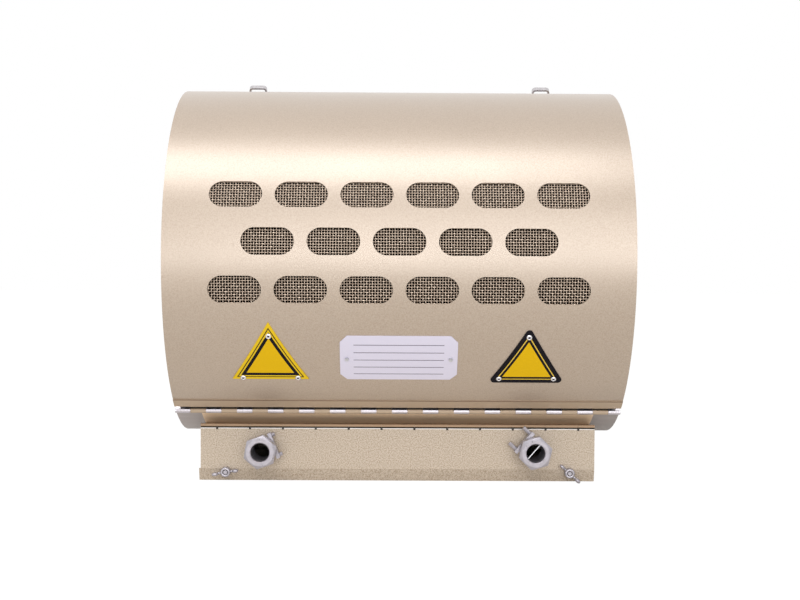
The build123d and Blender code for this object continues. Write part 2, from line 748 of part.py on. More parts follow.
# Plates on the front: bent to the cover, held by small pins and blind rivets
plate_inner_r = cover_outer_r + running_gap
plate_outer_r = plate_inner_r + plate_sheet
with BuildPart() as nameplate:
    with BuildSketch(across(-nameplate_size[0])):
        add(ring_sector(plate_inner_r, plate_outer_r, nameplate_angle - 20, nameplate_angle + 20))
    extrude(amount=2 * nameplate_size[0])
    with BuildSketch(skin(0, plate_inner_r, nameplate_angle)) as plate_outline:
        Rectangle(*nameplate_size)
        chamfer(plate_outline.vertices(), length=nameplate_corner)
    extrude(amount=nameplate_size[1] / 2, both=True, mode=Mode.INTERSECT)
finish(nameplate, "nameplate")

with BuildPart() as nameplate_pins:
    with BuildSketch(skin(0, plate_outer_r + running_gap, nameplate_angle)):
        with Locations((-nameplate_pin_x, 0), (nameplate_pin_x, 0)):
            Circle(pin_head_r)
    extrude(amount=rivet_height)
finish(nameplate_pins, "nameplate_pins")

sign_height = sign_side * cos(radians(30))
for side_name, side, sign_angle, corner in (
    ("left", -1, sign_angles[0], sign_corners[0]), ("right", 1, sign_angles[1], sign_corners[1]),
):
    with BuildPart() as sign_plate:
        with BuildSketch(across(side * sign_x - sign_side)):
            add(ring_sector(plate_inner_r, plate_outer_r, sign_angle - 20, sign_angle + 20))
        extrude(amount=2 * sign_side)
        with BuildSketch(skin(side * sign_x, plate_inner_r, sign_angle)) as sign_outline:
            add(outline(
                (-sign_side / 2, -sign_height / 3),
                (sign_side / 2, -sign_height / 3),
                (0, sign_height * 2 / 3),
            ))
            fillet(sign_outline.vertices(), radius=corner)
        extrude(amount=sign_side / 2, both=True, mode=Mode.INTERSECT)
    finish(sign_plate, f"{side_name}_sign_plate")

with BuildPart() as sign_rivets:
    low_angle, top_angle = sign_rivet_angles
    for side in (-1, 1):
        rivets = ((-sign_rivet_x, low_angle), (sign_rivet_x, low_angle), (0, top_angle))
        for rivet_x, rivet_angle in rivets:
            with BuildSketch(skin(side * sign_x + rivet_x, plate_outer_r + running_gap, rivet_angle)):
                Circle(rivet_r)
            extrude(amount=rivet_height)
finish(sign_rivets, "sign_rivets")

# Terminals: ceramic bushings and studs down from the rear coil, and a block in the box
with BuildPart() as terminal_bushings:
    with BuildSketch(skin(0, bar_outer_r + fit_gap, terminal_angle)):
        with Locations((-terminal_x, 0), (terminal_x, 0)):
            Circle(bushing_r)
            Circle(terminal_stud_r + running_gap, mode=Mode.SUBTRACT)
    extrude(amount=bushing_end_r - bar_outer_r - fit_gap)
finish(terminal_bushings, "terminal_bushings")

with BuildPart() as terminal_studs:
    with BuildSketch(skin(0, bar_outer_r + fit_gap, terminal_angle)):
        with Locations((-terminal_x, 0), (terminal_x, 0)):
            Circle(terminal_stud_r)
    extrude(amount=terminal_stud_end_r - bar_outer_r - fit_gap)
finish(terminal_studs, "terminal_studs")

with BuildPart() as terminal_nuts:
    with BuildSketch(skin(0, bushing_end_r + running_gap, terminal_angle)):
        with Locations((-terminal_x, 0), (terminal_x, 0)):
            RegularPolygon(radius=terminal_nut_hex / 2, side_count=6, major_radius=False)
            Circle(terminal_stud_r + running_gap, mode=Mode.SUBTRACT)
    extrude(amount=terminal_nut_height)
finish(terminal_nuts, "terminal_nuts")

with BuildPart() as terminal_block:
    with BuildSketch(Plane.XY.offset(box_floor + box_sheet + running_gap)):
        with Locations((0, block_y)):
            Rectangle(block_size[0], block_size[1])
    extrude(amount=block_size[2])
    chamfer(terminal_block.edges().filter_by(Axis.X).group_by(Axis.Z)[-1], length=2)
finish(terminal_block, "terminal_block")

with BuildPart() as block_screws:
    with BuildSketch(Plane.XY.offset(box_floor + box_sheet + 2 * running_gap + block_size[2])):
        with Locations((0, block_y)):
            with GridLocations(block_size[0] / 3, 1, 3, 1):
                RegularPolygon(radius=block_screw_r, side_count=8, major_radius=False)
    extrude(amount=block_screw_height)
finish(block_screws, "block_screws")
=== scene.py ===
# %% [markdown]
# # A band heater around a fixed frame
# The heater is two hinged half shells round a barrel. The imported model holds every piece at
# its real size; this script gives the pieces their finish and adds what is too fine for
# solids: woven wire, blind rivets, turned connector bodies and cast wing nuts.

# %% Load the frame
import bmesh
import bpy
import numpy as np
from mathutils import Matrix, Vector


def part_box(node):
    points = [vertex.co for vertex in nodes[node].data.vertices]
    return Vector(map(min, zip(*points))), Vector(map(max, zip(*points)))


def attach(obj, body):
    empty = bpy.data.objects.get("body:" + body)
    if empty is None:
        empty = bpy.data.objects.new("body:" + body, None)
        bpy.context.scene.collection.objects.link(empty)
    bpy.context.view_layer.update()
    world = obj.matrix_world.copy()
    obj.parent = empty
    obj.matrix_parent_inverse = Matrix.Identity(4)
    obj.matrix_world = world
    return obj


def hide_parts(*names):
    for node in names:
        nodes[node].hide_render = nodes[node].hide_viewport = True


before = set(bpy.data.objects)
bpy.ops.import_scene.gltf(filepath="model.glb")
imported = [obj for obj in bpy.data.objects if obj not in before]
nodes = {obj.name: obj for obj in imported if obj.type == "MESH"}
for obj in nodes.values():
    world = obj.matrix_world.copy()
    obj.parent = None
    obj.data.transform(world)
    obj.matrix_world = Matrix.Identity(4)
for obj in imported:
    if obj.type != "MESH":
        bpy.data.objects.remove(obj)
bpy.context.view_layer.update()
MM = 0.001

# %% [markdown]
# ## Places that the looks share
# Angles go round the barrel from the front, 0, towards the top. The cover's radius comes
# from its own node, so a curved pattern always lies on the sheet that carries it. The floor
# lies a little below the box, so that no two faces share a plane. Names that end in mm and
# the profiles of turned and cast pieces are in millimetres, and other lengths in metres.

# %% Shared places
cover_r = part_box("front_cover")[1][2]
cover_sheet = 1.2 * MM
floor_gap = 0.2 * MM
floor_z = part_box("wiring_box")[0][2] - floor_gap
sides = ("left", "right")
sign_x_mm, sign_side_mm = 100.0, 60.0
connector_x_mm, connector_z_mm = 110.0, -152.4


def on_barrel(x, radius, angle):
    """Points at x along the barrel: y is minus radius times cosine, z is radius times sine."""
    angle = np.radians(angle)
    return np.stack(np.broadcast_arrays(x, -radius * np.cos(angle), radius * np.sin(angle)), axis=-1)


print("cover radius", round(cover_r / MM, 2), "mm, floor at", round(floor_z / MM, 2), "mm")

# %% [markdown]
# ## Surfaces from arrays
# Each new shape is a grid of points, worked out as whole arrays. One function turns grids
# into a mesh: a grid may close on itself along its rows, its columns or both.

# %% Grids to meshes


def grid_faces(rows, columns, close_rows, close_columns):
    """Quads of a rows by columns grid, wrapping round where a direction is closed."""
    i = np.arange(rows if close_rows else rows - 1)
    j = np.arange(columns if close_columns else columns - 1)
    i, j = np.meshgrid(i, j, indexing="ij")
    down, right = (i + 1) % rows, (j + 1) % columns
    corners = (i * columns + j, down * columns + j, down * columns + right, i * columns + right)
    return np.stack(corners, axis=-1).reshape(-1, 4)


def solid(name, grids, close_rows=False, close_columns=True, body="front_half", smooth=True):
    """Joins point grids of shape (rows, columns, 3) into one piece that rides a body."""
    points, faces, start = [], [], 0
    for grid in grids:
        rows, columns = grid.shape[:2]
        points.append(grid.reshape(-1, 3))
        faces.append(grid_faces(rows, columns, close_rows, close_columns) + start)
        start += rows * columns
    mesh = bpy.data.meshes.new(name)
    mesh.from_pydata(np.concatenate(points).tolist(), [], np.concatenate(faces).tolist())
    work = bmesh.new()
    work.from_mesh(mesh)
    bmesh.ops.remove_doubles(work, verts=work.verts, dist=0.5e-6)
    bmesh.ops.recalc_face_normals(work, faces=work.faces)
    work.to_mesh(mesh)
    work.free()
    for polygon in mesh.polygons:
        polygon.use_smooth = smooth
    piece = bpy.data.objects.new(name, mesh)
    bpy.context.collection.objects.link(piece)
    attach(piece, body)
    print(name, len(mesh.polygons), "faces")
    return piece


def finish_with(piece, finish, slot, *replaced):
    """Gives a piece its finish and the nodes that it stands for; slot is not used."""
    piece.data.materials.clear()
    piece.data.materials.append(finish)
    for node in replaced:
        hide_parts(node)


# %% [markdown]
# ## Nodes of a finish
# Colours are written as they look on a screen and turned linear by one function. One helper
# adds a shader node with its settings and its links, and short ones built on it do the
# arithmetic, the mixing of two colours and the noise.

# %% Shader helpers


def linear(hex_colour):
    """An sRGB hex colour as linear red, green, blue and alpha."""
    srgb = np.array([int(hex_colour[i:i + 2], 16) for i in (0, 2, 4)]) / 255
    low, high = srgb / 12.92, ((srgb + 0.055) / 1.055) ** 2.4
    return (*np.where(srgb <= 0.04045, low, high).tolist(), 1.0)


def add_node(tree, kind, inputs=None, **settings):
    """Adds one node: settings are its properties, inputs are values or sockets to link."""
    made = tree.nodes.new(kind)
    for name, value in settings.items():
        setattr(made, name, value)
    for key, value in (inputs or {}).items():
        if isinstance(value, bpy.types.NodeSocket):
            tree.links.new(value, made.inputs[key])
        else:
            made.inputs[key].default_value = value
    return made


def new_finish(name, colour, metallic, roughness, **sockets):
    """A finish with one Principled shader; returns it with its tree, shader and coordinates."""
    finish = bpy.data.materials.new(name)
    finish.use_nodes = True
    tree = finish.node_tree
    shader = tree.nodes["Principled BSDF"]
    shader.inputs["Base Color"].default_value = linear(colour)
    shader.inputs["Metallic"].default_value = metallic
    shader.inputs["Roughness"].default_value = roughness
    for key, value in sockets.items():
        shader.inputs[key.replace("_", " ")].default_value = value
    place = add_node(tree, "ShaderNodeTexCoord").outputs["Object"]
    return finish, tree, shader, place


def maths(tree, operation, first, second=0.0):
    """One step of arithmetic on values or sockets."""
    return add_node(tree, "ShaderNodeMath", {0: first, 1: second}, operation=operation).outputs[0]


def axes_of(tree, place):
    """The x, y and z of a place as three sockets."""
    return add_node(tree, "ShaderNodeSeparateXYZ", {0: place}).outputs


def band_mask(tree, value, low, high):
    """1 where a value lies between two limits, else 0."""
    above = maths(tree, "GREATER_THAN", value, low)
    below = maths(tree, "LESS_THAN", value, high)
    return maths(tree, "MULTIPLY", above, below)


def between(tree, value, low, high, start=0.0, end=1.0):
    """start where a value is at low, end where it is at high, and straight between."""
    limits = {0: value, 1: low, 2: high, 3: start, 4: end}
    return add_node(tree, "ShaderNodeMapRange", limits).outputs[0]


def mix_colours(tree, share, first, second):
    """first where the share is 0, second where it is 1; each is a hex colour or a socket."""
    first, second = (linear(tone) if isinstance(tone, str) else tone for tone in (first, second))
    colours = {0: share, 6: first, 7: second}
    return add_node(tree, "ShaderNodeMix", colours, data_type="RGBA").outputs[2]


def speckle(tree, place, grain_mm, detail=2.0, stretch=None):
    """Noise whose blotches measure about grain_mm; stretch lengthens them along an axis."""
    if stretch:
        place = add_node(tree, "ShaderNodeMapping", {"Vector": place, "Scale": stretch}).outputs[0]
    grain = {"Vector": place, "Scale": 1 / (grain_mm * MM), "Detail": detail}
    return add_node(tree, "ShaderNodeTexNoise", grain).outputs[0]


def vary(tree, noise, dark, light, low=0.3, high=0.7):
    """Two colours mixed by a noise between two levels."""
    return mix_colours(tree, between(tree, noise, low, high), dark, light)


def rough_skin(tree, shader, height, distance_mm, strength):
    """Joins a height pattern to the shader as bump of a real depth."""
    relief = {"Height": height, "Distance": distance_mm * MM, "Strength": strength}
    bump = add_node(tree, "ShaderNodeBump", relief)
    tree.links.new(bump.outputs[0], shader.inputs["Normal"])


# %% [markdown]
# ## Champagne powder coat
# The cover and the wiring box are sheet steel under a champagne-gold metallic powder coat.
# Its flakes give two tones in blotches of about 0.9 mm, which read as a fine sparkle, and a
# shallow bump stands for the orange peel that breaks up the highlight. The box's two tones
# lie further apart, so it looks more coarsely sprayed.

# %% Painted sheet
flake_mm, cloud_mm, peel_mm = 0.9, 60.0, 0.05
flake_levels = (0.32, 0.62)
box_tones = ("9C8A76", "C6B9A9")


def powder_coat(name, dark, light, peel):
    """Metallic powder coat: a two-tone flake and a shallow orange peel."""
    coat = {"Coat_Weight": 1.0, "Coat_Roughness": 0.36, "Coat_IOR": 1.75}
    finish, tree, shader, place = new_finish(name, light, 0.25, 0.38, **coat)
    flakes = speckle(tree, place, flake_mm)
    tree.links.new(vary(tree, flakes, dark, light, *flake_levels), shader.inputs["Base Color"])
    sheen = between(tree, speckle(tree, place, cloud_mm), 0.3, 0.7, 0.34, 0.4)
    tree.links.new(sheen, shader.inputs["Roughness"])
    rough_skin(tree, shader, flakes, peel_mm, peel)
    return finish


cover_paint = powder_coat("champagne_powder_coat", "A08C79", "AF9E8C", 0.15)
box_paint = powder_coat("champagne_powder_coat_coarse", *box_tones, 0.25)

# %% [markdown]
# ## Bare and plated metals
# The rear shell and the latches are satin stainless steel, rolled along the barrel. The
# connectors and wing nuts are zinc plate over a die casting, a little dull, so the finish is
# only partly metallic. The sheet behind the mesh can't be made out in the photo: it is
# guessed to be nearly black from heat, because the slots look dark.

# %% Metals
shine_swing = 0.06


def metal(name, dark, light, roughness, grain_mm=2.0, stretch=None, depth=0.12, metallic=1.0):
    """A metal whose colour and shine vary with its rolling or casting grain."""
    finish, tree, shader, place = new_finish(name, light, metallic, roughness)
    grain = speckle(tree, place, grain_mm, 3.0, stretch)
    tree.links.new(vary(tree, grain, dark, light), shader.inputs["Base Color"])
    shine = between(tree, grain, 0.3, 0.7, roughness - shine_swing, roughness + shine_swing)
    tree.links.new(shine, shader.inputs["Roughness"])
    rough_skin(tree, shader, grain, 0.03, depth)
    return finish


rolled = (0.04, 1.0, 1.0)
stainless = metal("satin_stainless", "8E857B", "B9B1A8", 0.34, 0.8, rolled)
hinge_steel = metal("bright_hinge_steel", "C4BFC6", "DBD7DD", 0.34, 1.2)
latch_steel = metal("pressed_stainless", "C2BEC0", "D0CCCE", 0.3, 1.5, depth=0.02)
zinc = metal("zinc_plate", "A5A1A8", "AFABB3", 0.33, 3.0, depth=0.0, metallic=0.6)
plate_metal = metal("satin_aluminium", "B9BAC0", "D8D9DE", 0.4, 0.7, rolled)
brass = metal("turned_brass", "9A7C3E", "C9A85E", 0.28, 1.5)
hot_steel = metal("heat_blackened_steel", "0B0A09", "17140F", 0.7, 6.0)
wire_metal = metal("woven_steel_wire", "9A897B", "D8C7B6", 0.33, 1.6)
coil_metal = metal("nickel_chrome_wire", "4A4440", "6E655D", 0.5, 1.5)

# %% [markdown]
# ## Ceramics and fibre
# None of these shows in the photo, so they are guesses. The bars that hold the coils are
# unglazed fired ceramic, matt and slightly porous. The blanket is white needled fibre, and
# the terminal block is glazed.

# %% Ceramics


def dull(name, dark, light, roughness, grain_mm, depth):
    """A matt, porous or fibrous body."""
    finish, tree, shader, place = new_finish(name, light, 0.0, roughness)
    grain = speckle(tree, place, grain_mm, 4.0)
    tree.links.new(vary(tree, grain, dark, light), shader.inputs["Base Color"])
    rough_skin(tree, shader, grain, 0.15, depth)
    return finish


ceramic = dull("fired_ceramic", "D2C7B4", "E6DDCD", 0.8, 1.5, 0.4)
fibre = dull("needled_fibre", "DCDAD4", "F0EEE9", 0.95, 3.0, 0.8)
porcelain = dull("glazed_porcelain", "E4E1DA", "F1EFEA", 0.2, 20.0, 0.05)

# %% [markdown]
# ## Signs and plate
# The two triangles are enamelled sheet with painted borders and an empty field. The borders
# follow the triangle's edges, so the distance in from the nearest edge picks the colour.
# That distance comes from where a point lies round the barrel and along it.

# %% Enamelled triangles
band_span_mm = 10.0


def rise_past(tree, axes, angle):
    """Millimetres up the cover from an angle: its radius times the turn past that angle."""
    turn = maths(tree, "ARCTAN2", axes[2], maths(tree, "MULTIPLY", axes[1], -1.0))
    past = maths(tree, "SUBTRACT", turn, np.radians(angle))
    return maths(tree, "MULTIPLY", past, cover_r / MM)


def enamel_sign(name, centre_x_mm, centre_angle, bands):
    """Bands of colour by the distance in from a triangle's nearest edge, in millimetres.

    At x and rise r from the centre, the way out is the greater of |x| root(3) / 2 + r / 2
    and -r. The edges lie where it equals the side times root(3) / 6.
    """
    finish, tree, shader, place = new_finish(name, "E6B400", 0.0, 0.5, Specular_IOR_Level=0.15)
    axes = axes_of(tree, place)
    rise = rise_past(tree, axes, centre_angle)
    along = maths(tree, "SUBTRACT", maths(tree, "MULTIPLY", axes[0], 1 / MM), centre_x_mm)
    lean = maths(tree, "MULTIPLY", maths(tree, "ABSOLUTE", along), np.sqrt(3) / 2)
    slanted = maths(tree, "ADD", lean, maths(tree, "MULTIPLY", rise, 0.5))
    outward = maths(tree, "MAXIMUM", slanted, maths(tree, "MULTIPLY", rise, -1.0))
    inset = maths(tree, "SUBTRACT", sign_side_mm * np.sqrt(3) / 6, outward)
    share = maths(tree, "DIVIDE", inset, band_span_mm)
    ramp = add_node(tree, "ShaderNodeValToRGB", {0: share})
    ramp.color_ramp.interpolation = "CONSTANT"
    stops = ramp.color_ramp.elements
    while len(stops) < len(bands):
        stops.new(1.0)
    for stop, (edge_mm, colour) in zip(stops, bands):
        stop.position = edge_mm / band_span_mm
        stop.color = linear(colour)
    tree.links.new(ramp.outputs[0], shader.inputs["Base Color"])
    return finish


yellow, black, ochre = "D6AC02", "0C0811", "D9B61C"
left_bands = ((0, ochre), (2.1, "3A2C10"), (2.9, ochre), (4.0, black), (6.6, yellow))
right_bands = ((0, black), (3.5, "D9B84A"), (4.3, black), (6.3, yellow))
left_sign = enamel_sign("enamelled_sign_left", -sign_x_mm, -32.2, left_bands)
right_sign = enamel_sign("enamelled_sign_right", sign_x_mm, -33.3, right_bands)

# %% [markdown]
# ## Ruled plate
# The plate is satin aluminium with a few ruled lines and nothing written on it.

# %% Ruled aluminium
plate_angle, plate_tone, rule_tone = -30.9, "D2CEDF", "6F6C78"
rule_pitch_mm, rule_half_mm, rule_shift_mm = 6.8, 0.32, 1.0
rules_reach_mm, rules_rise_mm = 35.0, 15.0


def ruled_plate():
    """Thin grey rules across the plate, spaced by the rise round the barrel."""
    finish, tree, shader, place = new_finish("ruled_satin_aluminium", plate_tone, 0.1, 0.42)
    axes = axes_of(tree, place)
    rise = rise_past(tree, axes, plate_angle)
    row = maths(tree, "PINGPONG", maths(tree, "ADD", rise, rule_shift_mm), rule_pitch_mm / 2)
    line = maths(tree, "LESS_THAN", row, rule_half_mm)
    reach = maths(tree, "LESS_THAN", maths(tree, "ABSOLUTE", axes[0]), rules_reach_mm * MM)
    height = maths(tree, "LESS_THAN", maths(tree, "ABSOLUTE", rise), rules_rise_mm)
    mask = maths(tree, "MULTIPLY", maths(tree, "MULTIPLY", line, reach), height)
    colour = mix_colours(tree, mask, plate_tone, rule_tone)
    tree.links.new(colour, shader.inputs["Base Color"])
    return finish


plate_finish = ruled_plate()

# %% [markdown]
# ## The painted hinge leaf
# The front leaf is painted with the cover. Its upper edge and the fold at the knuckles are
# dark lines in the photo, most likely shade in the two steps of the sheet; both are painted shade.

# %% Leaf with painted shade at its edge and fold
leaf_lift = 0.8 * MM
# The fold and edge bands are painted shade: dark where the steps of the sheet lie in shade.
fold_shade_angles, edge_shade_angles = (-54.35, -53.2), (-49.5, -49.15)
leaf_tone, fold_shade_tone, edge_shade_tone = "B39F89", "1E1710", "6E5747"


def leaf_paint():
    """Champagne paint with painted shade in two dark bands; height is radius times sine of angle."""
    finish, tree, shader, place = new_finish("painted_hinge_leaf", leaf_tone, 0.25, 0.4)
    height = axes_of(tree, place)[2]
    fold = (cover_r + leaf_lift) * np.sin(np.radians(fold_shade_angles))
    edge = (cover_r + leaf_lift) * np.sin(np.radians(edge_shade_angles))
    folded = mix_colours(tree, band_mask(tree, height, *fold), leaf_tone, fold_shade_tone)
    edged = mix_colours(tree, band_mask(tree, height, *edge), folded, edge_shade_tone)
    tree.links.new(edged, shader.inputs["Base Color"])
    rough_skin(tree, shader, speckle(tree, place, flake_mm), peel_mm, 0.2)
    return finish


front_leaf = leaf_paint()

# %% [markdown]
# ## Apron and lid edge
# In the photo a brown strip as long as the box lies under the piano hinge. It is the box's
# reflection in the rear shell's bare steel, painted here as a pale field that also lifts the
# shade under the hinge. That is a guess: it may be the box's reflection in bare steel. The
# lid's hinge is a line of painted shade with a painted highlight under it and a notch of
# painted shade at each joint.

# %% Painted reflection under the hinge and painted light at the lid's hinge
reflection_y, reflection_z, reflection_x = (-0.2, -0.02), (-0.2, -0.1), (-0.1595, 0.1595)
# Bands on the lid by height: a painted highlight, a line of painted shade and the box's painted
# reflection; the notches are painted shade between knuckles.
hinge_highlight_band = (-0.1358, -0.1352, "E6E2E0")
hinge_shade_band = (-0.1352, -0.1339, "120B06")
lid_reflection_band = (-0.1339, -0.11, "A3876C")
notch_shade_z, notch_shade_tone = (-0.1366, -0.135), "1E150D"
joint_half_pitch, notch_half = 13.33 * MM, 0.9 * MM


def steel_with_painted_reflection():
    """Satin stainless with the box's reflection painted as a field in front, under the hinge."""
    finish, tree, shader, place = new_finish("rear_shell_steel_painted_reflection", "B9B1A8", 1.0, 0.34)
    steel = vary(tree, speckle(tree, place, 0.8, 3.0, rolled), "B1A9A8", "C0B8B7")
    axes = axes_of(tree, place)
    front = band_mask(tree, axes[1], *reflection_y)
    low = band_mask(tree, axes[2], *reflection_z)
    middle = band_mask(tree, axes[0], *reflection_x)
    field = maths(tree, "MULTIPLY", maths(tree, "MULTIPLY", front, low), middle)
    # The pale brown is the box's painted reflection, pale enough to lift the shade under the hinge.
    paint = vary(tree, speckle(tree, place, flake_mm), "F3D3B1", "FBDDBD")
    tree.links.new(mix_colours(tree, field, steel, paint), shader.inputs["Base Color"])
    metallic = between(tree, field, 0.0, 1.0, 0.75, 0.0)
    tree.links.new(metallic, shader.inputs["Metallic"])
    return finish


def lid_edge():
    """Box paint with painted light in bands by height and a notch of painted shade at each joint."""
    finish, tree, shader, place = new_finish("champagne_lid_paint", "CDBBA2", 0.2, 0.45)
    along, _, height = axes_of(tree, place)
    colour = vary(tree, speckle(tree, place, flake_mm), *box_tones, *flake_levels)
    for low, high, tone in (hinge_highlight_band, hinge_shade_band, lid_reflection_band):
        colour = mix_colours(tree, band_mask(tree, height, low, high), colour, tone)
    shifted = maths(tree, "SUBTRACT", along, joint_half_pitch)
    joint = maths(tree, "PINGPONG", shifted, joint_half_pitch)
    notch = maths(tree, "LESS_THAN", joint, notch_half)
    notch = maths(tree, "MULTIPLY", notch, band_mask(tree, height, *notch_shade_z))
    colour = mix_colours(tree, notch, colour, notch_shade_tone)
    tree.links.new(colour, shader.inputs["Base Color"])
    rough_skin(tree, shader, speckle(tree, place, flake_mm), peel_mm, 0.25)
    return finish


rear_steel = steel_with_painted_reflection()
lid_paint = lid_edge()

# %% Dress the nodes
latch_kinds = ("base", "pin", "lever", "bail", "keeper")
latch_nodes = [f"{side}_latch_{kind}" for side in sides for kind in latch_kinds]
end_plates = [f"{half}_end_plate_{side}" for half in ("front", "rear") for side in sides]
zinc_words = ("connector", "clamp", "locknut", "wing_nut", "lid_studs")
dressing = {
    cover_paint: ["front_cover"],
    box_paint: ["wiring_box"],
    lid_paint: ["lid", "lid_hinge_strip"],
    front_leaf: ["front_hinge_leaf"],
    hinge_steel: ["rear_hinge_leaf", "hinge_pin"],
    rear_steel: ["rear_cover"],
    stainless: ["lid_hinge_pin", *end_plates],
    latch_steel: latch_nodes,
    hot_steel: ["front_casing", "rear_casing", "front_spacers", "rear_spacers"],
    wire_metal: ["front_mesh"],
    ceramic: ["front_ceramic_bars", "rear_ceramic_bars", "terminal_bushings"],
    coil_metal: ["front_heating_coil", "rear_heating_coil"],
    fibre: ["front_blanket", "rear_blanket"],
    plate_finish: ["nameplate"],
    plate_metal: ["nameplate_pins", "sign_rivets"],
    left_sign: ["left_sign_plate"],
    right_sign: ["right_sign_plate"],
    brass: ["terminal_studs", "terminal_nuts", "block_screws"],
    porcelain: ["terminal_block"],
    zinc: [name for name in nodes if any(word in name for word in zinc_words)],
}
for finish, names in dressing.items():
    for name in names:
        nodes[name].data.materials.clear()
        nodes[name].data.materials.append(finish)
print("dressed", len(nodes), "nodes")

# %% [markdown]
# ## Curved sheets that shade as curves
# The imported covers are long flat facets. Their points lie on true cylinders, so a merged
# copy keeps the shape and takes its shading normals from the barrel's axis: each corner of
# a face that looks outwards or inwards gets the direction straight away from that axis.

# %% Rolled copies of the shells
weld_distance, radial_share = 1e-6, 0.95


def rolled_copy(node, body, finish, slot):
    """A merged copy of a shell; where a face is radial its normals are points over radius."""
    mesh = nodes[node].data.copy()
    work = bmesh.new()
    work.from_mesh(mesh)
    bmesh.ops.remove_doubles(work, verts=work.verts, dist=weld_distance)
    work.to_mesh(mesh)
    work.free()
    points = np.empty(len(mesh.vertices) * 3)
    mesh.vertices.foreach_get("co", points)
    points = points.reshape(-1, 3)
    corner_points = np.empty(len(mesh.loops), dtype=int)
    mesh.loops.foreach_get("vertex_index", corner_points)
    face_normals = np.empty(len(mesh.polygons) * 3)
    mesh.polygons.foreach_get("normal", face_normals)
    # Every packed face is a triangle, so each normal serves three corners in a row.
    corner_normals = np.repeat(face_normals.reshape(-1, 3), 3, axis=0)
    radial = points[corner_points] * (0, 1, 1)
    radial /= np.linalg.norm(radial, axis=1, keepdims=True)
    facing = np.einsum("ij,ij->i", radial, corner_normals)
    rolled_face = np.abs(facing) > radial_share
    corner_normals[rolled_face] = (radial * np.sign(facing)[:, None])[rolled_face]
    for polygon in mesh.polygons:
        polygon.use_smooth = True
    mesh.normals_split_custom_set(corner_normals.tolist())
    piece = bpy.data.objects.new(f"{node}_rolled", mesh)
    bpy.context.collection.objects.link(piece)
    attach(piece, body)
    finish_with(piece, finish, slot, node)


rolled_copy("front_cover", "front_half", cover_paint, "champagne_paint")
rolled_copy("rear_cover", "rear_half", rear_steel, "stainless_steel")
rolled_copy("nameplate", "front_half", plate_finish, "plate_aluminium")
rolled_copy("left_sign_plate", "front_half", left_sign, "sign_yellow")
rolled_copy("right_sign_plate", "front_half", right_sign, "sign_yellow")

# %% [markdown]
# ## Woven wire
# The mesh is plain-woven steel wire, about twelve wires to the inch. Each wire is a tube on
# a wave that passes over one crossing wire and under the next. The wires along the barrel
# and the hoops round it are two pieces, each below the limit on triangles.

# %% Weave
mesh_low, mesh_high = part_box("front_mesh")
wire_pitch = 2.14 * MM
wire_r = 0.43 * MM
weave_gap, mesh_inset = 0.1 * MM, 2 * MM
weave_r = cover_r - cover_sheet - 2 * wire_r - weave_gap
mesh_ends = np.array([mesh_low[2], mesh_high[2]])
mesh_angles = np.degrees(np.arcsin(mesh_ends / (cover_r - mesh_inset)))
wire_rows = int(np.radians(mesh_angles[1] - mesh_angles[0]) * weave_r / wire_pitch)
hoop_count = int((mesh_high[0] - mesh_low[0]) / wire_pitch)
row_angles = mesh_angles[0] + np.degrees(np.arange(wire_rows) * wire_pitch / weave_r)
hoop_x = mesh_low[0] + wire_pitch * (np.arange(hoop_count) + 0.5)
tube_turn = np.radians((0, 90, 180, 270))


def wave_tubes(crossings, lines, place):
    """Four-sided tubes on waves: lift is wire_r cos(pi step / 2), opposite on next lines."""
    step = np.arange(2 * crossings - 1)
    swing = np.cos(step * np.pi / 2)[None, :] * ((-1.0) ** np.arange(lines))[:, None] * wire_r
    lift = swing[..., None] + wire_r * np.cos(tube_turn)
    side = np.broadcast_to(wire_r * np.sin(tube_turn), lift.shape)
    return place(step / 2, lift, side)


def along_barrel(step, lift, side):
    """A wire along the barrel: its sideways part is an angle."""
    x = hoop_x[0] + step * wire_pitch
    angle = row_angles[:, None, None] + np.degrees(side / weave_r)
    return on_barrel(x[None, :, None], weave_r + lift, angle)


def round_barrel(step, lift, side):
    """A hoop: its steps are angles and its sideways part runs along the barrel."""
    angle = row_angles[0] + np.degrees(step * wire_pitch / weave_r)
    return on_barrel(hoop_x[:, None, None] + side, weave_r - lift, angle[None, :, None])


long_wires = solid("mesh_long_wires", list(wave_tubes(hoop_count, wire_rows, along_barrel)))
hoop_wires = solid("mesh_hoop_wires", list(wave_tubes(wire_rows, hoop_count, round_barrel)))
finish_with(long_wires, wire_metal, "steel_wire_mesh", "front_mesh")
finish_with(hoop_wires, wire_metal, "steel_wire_mesh", "front_mesh")

# %% [markdown]
# ## Turned and blind-riveted pieces
# A turned piece is a profile of radius and height spun about its own axis. The axis is any
# frame of three directions, so the same function makes rivets that stand on the curved
# cover and connectors that stand on the lid.

# %% Turned pieces


def turned(profile, origin, across, up, outward, sides=28, corner=None):
    """Spins a profile: place = origin + radius (cos across + sin up) + height outward."""
    turn = np.linspace(0, 2 * np.pi, sides, endpoint=False)
    profile = np.array(profile, float)
    radius = np.broadcast_to(profile[:, :1], (len(profile), sides)).copy()
    height = np.broadcast_to(profile[:, 1:], (len(profile), sides)).copy()
    if corner is not None:
        radius, height = corner(radius, height, turn)
    ring = np.cos(turn)[None, :, None] * np.array(across) + np.sin(turn)[None, :, None] * np.array(up)
    return np.array(origin) + (radius[..., None] * ring + height[..., None] * np.array(outward)) * MM


